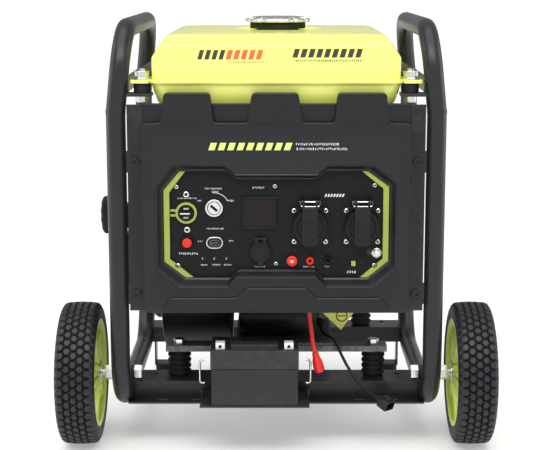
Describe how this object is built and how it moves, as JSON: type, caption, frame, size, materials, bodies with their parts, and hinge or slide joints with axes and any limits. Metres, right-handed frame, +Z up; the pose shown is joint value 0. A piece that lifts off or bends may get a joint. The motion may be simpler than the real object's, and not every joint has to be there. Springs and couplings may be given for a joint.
{
  "type": "inverter generator",
  "caption": "Portable open-frame inverter generator: tube side loops, wheels at the control end, rear feet, petrol engine, tank, battery and a recessed control panel.",
  "frame": {"origin": "on the ground under the middle of the overall box", "axes": "+X to the right of someone facing the control panel, +Y away from them, +Z up"},
  "size_m": [0.584, 0.435, 0.5777],
  "materials": {
    "frame_paint": "satin anthracite powder coat",
    "bracket_paint": "satin black powder coat",
    "rubber": "matte black rubber",
    "zinc": "bright zinc plate",
    "tyre": "black tread rubber",
    "lime_plastic": "moulded lime plastic",
    "fascia_plastic": "fine moulded texture, dark grey",
    "panel_face": "printed blue-black face",
    "trim_lime": "satin lime",
    "black_plastic": "fine texture, black",
    "cover_plastic": "fine texture, charcoal",
    "display_glass": "glossy smoked window",
    "key_metal": "satin chrome",
    "red_plastic": "satin red",
    "lamp": "frosted lamp lens",
    "bare_aluminium": "extruded heat sink",
    "tank_paint": "gloss lime paint",
    "tank_shade": "gloss lime paint",
    "cap_metal": "satin pale grey",
    "cast_alloy": "sand-cast and bead blasted",
    "black_metal": "satin black paint",
    "muffler_steel": "heat-tinted sheet steel",
    "machined_steel": "machined",
    "copper": "enamelled copper winding",
    "pulley_plastic": "natural nylon",
    "dipstick_yellow": "yellow moulded cap",
    "battery_plastic": "smooth battery casing",
    "lead_metal": "dull lead and tin",
    "red_rubber": "soft red PVC",
    "cable_black": "soft black PVC"
  },
  "bodies": {
    "chassis": {"frame_loop_left": "frame_paint", "frame_loop_right": "frame_paint", "lower_crossbar_front": "frame_paint", "lower_crossbar_rear": "frame_paint", "tank_supports": "frame_paint", "foot_pads": "rubber", "rubber_mounts": "rubber", "frame_bolts": "zinc", "fascia": "fascia_plastic", "fascia_brackets": "bracket_paint", "front_screws": "zinc", "control_panel": "panel_face", "panel_trim": "trim_lime", "display": "black_plastic", "display_window": "display_glass", "key_switch": "key_metal", "selector_ring": "trim_lime", "rocker_bezel": "zinc", "indicator_lamps": "lamp", "dc_socket": "black_plastic", "ac_outlets": "black_plastic", "parallel_sockets": "red_plastic", "ground_terminal": "zinc", "inverter_module": "bare_aluminium", "tank_lower": "tank_shade", "tank_upper": "tank_paint", "crankcase": "cast_alloy", "engine_cylinder": "cast_alloy", "starter_motor": "black_metal", "muffler": "muffler_steel", "air_cleaner": "black_plastic", "fan_housing": "black_plastic", "stator": "copper", "recoil_cover": "black_plastic", "battery_case": "battery_plastic", "battery_terminals": "lead_metal", "battery_tray": "frame_paint", "red_lead": "red_rubber", "red_boot": "red_rubber", "charge_lead": "cable_black", "charge_plug": "black_plastic"},
    "wheel_left": {"tyre_left": "tyre", "rim_left": "lime_plastic"},
    "wheel_right": {"tyre_right": "tyre", "rim_right": "lime_plastic"},
    "crank": {"crankshaft": "machined_steel"},
    "recoil_grip": {"recoil_handle": "black_plastic"},
    "recoil_reel": {"recoil_pulley": "pulley_plastic"},
    "key": {"key_rotor": "key_metal"},
    "selector": {"selector_knob": "black_plastic"},
    "rocker": {"eco_rocker": "black_plastic"},
    "start_key": {"start_button": "red_plastic"},
    "breaker": {"breaker_button": "red_plastic"},
    "cover_left": {"outlet_cover_left": "cover_plastic"},
    "cover_right": {"outlet_cover_right": "cover_plastic"},
    "dc_lid": {"dc_cap": "rubber"},
    "cap_ring": {"cap_seal": "rubber"},
    "cap": {"fuel_cap": "cap_metal"},
    "dipstick": {"oil_dipstick": "dipstick_yellow", "oil_tag": "trim_lime"}
  },
  "joints": [
    {"name": "wheel_left_spin", "type": "hinge", "parent": "chassis", "child": "wheel_left", "pos_m": [-0.2655, -0.12035, 0.097], "axis": [1, 0, 0], "continuous": true},
    {"name": "wheel_right_spin", "type": "hinge", "parent": "chassis", "child": "wheel_right", "pos_m": [0.2655, -0.12035, 0.097], "axis": [1, 0, 0], "continuous": true},
    {"name": "crank_spin", "type": "hinge", "parent": "chassis", "child": "crank", "pos_m": [0, 0.02465, 0.233], "axis": [1, 0, 0], "continuous": true},
    {"name": "recoil_pull", "type": "slide", "parent": "chassis", "child": "recoil_grip", "axis": [-1, 0, 0], "range_m": [0, 0.45], "stiffness_N_per_m": 20, "springref_m": -0.3},
    {"name": "recoil_reel_turn", "type": "hinge", "parent": "chassis", "child": "recoil_reel", "pos_m": [-0.176, 0.02465, 0.233], "axis": [1, 0, 0], "range_deg": [0, 440]},
    {"name": "key_turn", "type": "hinge", "parent": "chassis", "child": "key", "pos_m": [-0.0805, -0.18535, 0.3365], "axis": [0, -1, 0], "range_deg": [-40, 50]},
    {"name": "selector_turn", "type": "hinge", "parent": "chassis", "child": "selector", "pos_m": [-0.1165, -0.18535, 0.33], "axis": [0, -1, 0], "range_deg": [0, 90]},
    {"name": "rocker_tilt", "type": "hinge", "parent": "chassis", "child": "rocker", "pos_m": [-0.0802, -0.18655, 0.2905], "axis": [0, 0, 1], "range_deg": [-7, 7]},
    {"name": "start_press", "type": "slide", "parent": "chassis", "child": "start_key", "axis": [0, 1, 0], "range_m": [0, 0.0025], "stiffness_N_per_m": 600, "springref_m": -0.001},
    {"name": "breaker_press", "type": "slide", "parent": "chassis", "child": "breaker", "axis": [0, 1, 0], "range_m": [0, 0.0025], "stiffness_N_per_m": 600, "springref_m": -0.001},
    {"name": "outlet_left_open", "type": "hinge", "parent": "chassis", "child": "cover_left", "pos_m": [0.0435, -0.19735, 0.346], "axis": [-1, 0, 0], "range_deg": [0, 115], "stiffness_Nm_per_rad": 0.02, "springref_deg": -22.92},
    {"name": "outlet_right_open", "type": "hinge", "parent": "chassis", "child": "cover_right", "pos_m": [0.111, -0.19735, 0.346], "axis": [-1, 0, 0], "range_deg": [0, 115], "stiffness_Nm_per_rad": 0.02, "springref_deg": -22.92},
    {"name": "dc_cap_open", "type": "hinge", "parent": "chassis", "child": "dc_lid", "pos_m": [-0.0205, -0.19015, 0.2965], "axis": [-1, 0, 0], "range_deg": [0, 110], "stiffness_Nm_per_rad": 0.01, "springref_deg": -17.19},
    {"name": "cap_lift", "type": "slide", "parent": "chassis", "child": "cap_ring", "axis": [0, 0, 1], "range_m": [0, 0.06]},
    {"name": "cap_turn", "type": "hinge", "parent": "cap_ring", "child": "cap", "pos_m": [0.002, -0.00035, 0.57], "axis": [0, 0, 1], "range_deg": [0, 90]},
    {"name": "dipstick_pull", "type": "slide", "parent": "chassis", "child": "dipstick", "axis": [0, -1, 0], "range_m": [0, 0.045]}
  ],
  "couplings": [
    {"joint": "recoil_reel_turn", "follows": "recoil_pull", "rad_per_m": 16.667}
  ]
}
